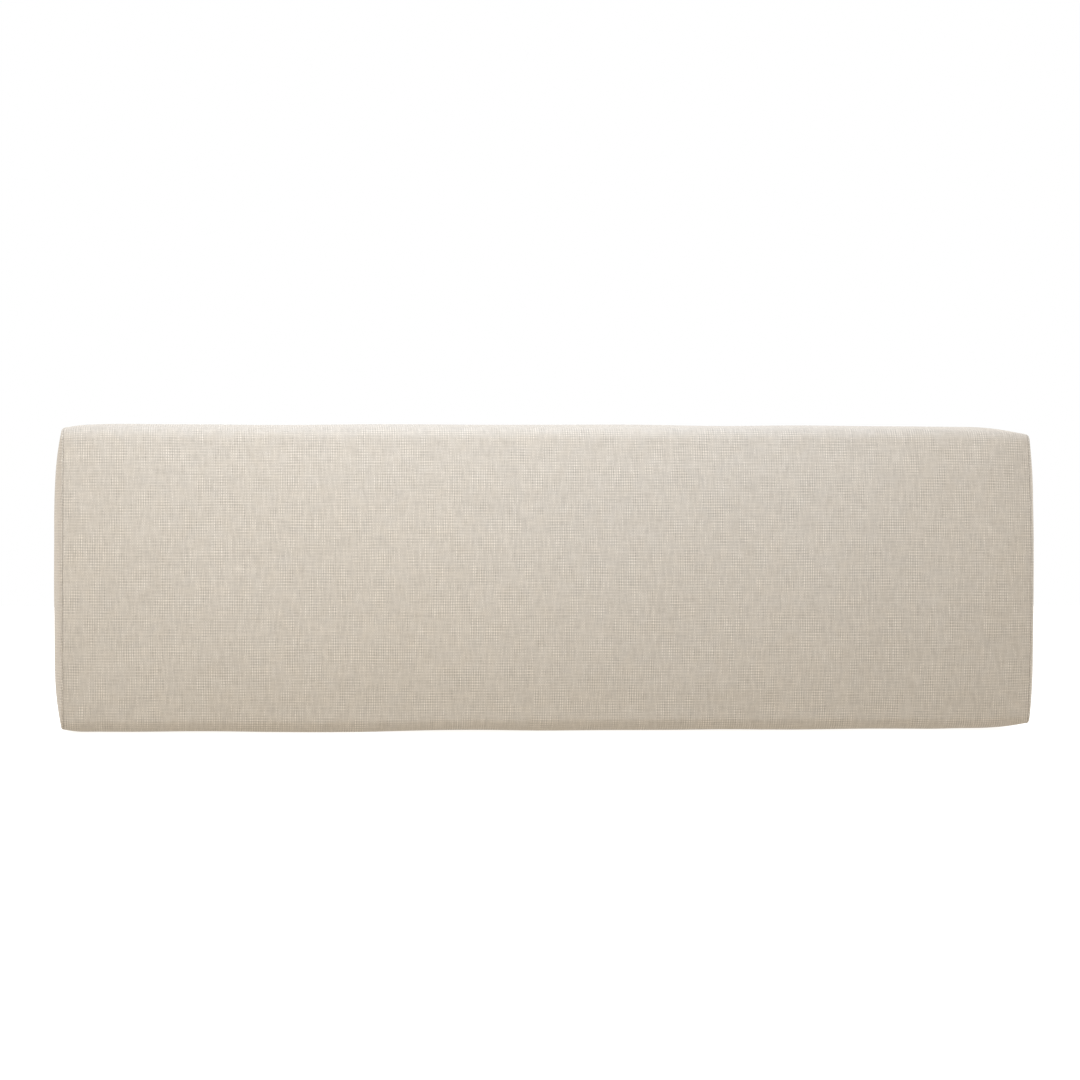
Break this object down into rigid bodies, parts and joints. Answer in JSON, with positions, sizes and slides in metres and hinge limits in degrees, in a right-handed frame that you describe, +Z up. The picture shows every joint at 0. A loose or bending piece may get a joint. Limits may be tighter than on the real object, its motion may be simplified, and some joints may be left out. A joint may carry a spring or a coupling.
{
  "type": "bolster pillow",
  "caption": "Long box-section bolster cushion in a linen-look weave, with crowned faces, sewn end panels and a zip along the back.",
  "frame": {"origin": "centre of the footprint, on the flat underside that the bolster rests on", "axes": "+X along the bolster, +Y from the front face to the back face with the zip, +Z up"},
  "size_m": [0.66, 0.15, 0.206],
  "materials": {
    "linen": "matte",
    "sewing_thread": "matte",
    "zip_tape": "matte",
    "zip_coil": "satin",
    "zip_metal": "satin",
    "liner_cotton": "matte",
    "polyester_fibre": "matte",
    "upholstery_foam": "matte"
  },
  "bodies": {
    "cushion": {"cover_wrap": "linen", "cover_end_left": "linen", "cover_end_right": "linen", "end_seam_thread_left": "sewing_thread", "end_seam_thread_right": "sewing_thread", "back_seam_thread_left": "sewing_thread", "back_seam_thread_right": "sewing_thread", "zip_topstitching": "sewing_thread", "zip_tape_upper": "zip_tape", "zip_tape_lower": "zip_tape", "zip_coil_upper": "zip_coil", "zip_coil_lower": "zip_coil", "zip_top_stop_upper": "zip_metal", "zip_top_stop_lower": "zip_metal", "zip_bottom_stop": "zip_metal", "liner_wrap": "liner_cotton", "liner_end_left": "liner_cotton", "liner_end_right": "liner_cotton", "liner_seam_thread": "sewing_thread", "liner_end_thread_left": "sewing_thread", "liner_end_thread_right": "sewing_thread", "fibre_wrap": "polyester_fibre", "fibre_end_pad_left": "polyester_fibre", "fibre_end_pad_right": "polyester_fibre", "foam_core": "upholstery_foam"},
    "slider": {"zip_slider": "zip_metal"},
    "pull": {"zip_pull": "zip_metal"}
  },
  "joints": [
    {"name": "zip_slide", "type": "slide", "parent": "cushion", "child": "slider", "axis": [1, 0, 0], "range_m": [0, 0.46]},
    {"name": "pull_swing", "type": "hinge", "parent": "slider", "child": "pull", "pos_m": [-0.235, 0.07331, 0.103], "axis": [0, 0, 1], "range_deg": [0, 180]}
  ]
}
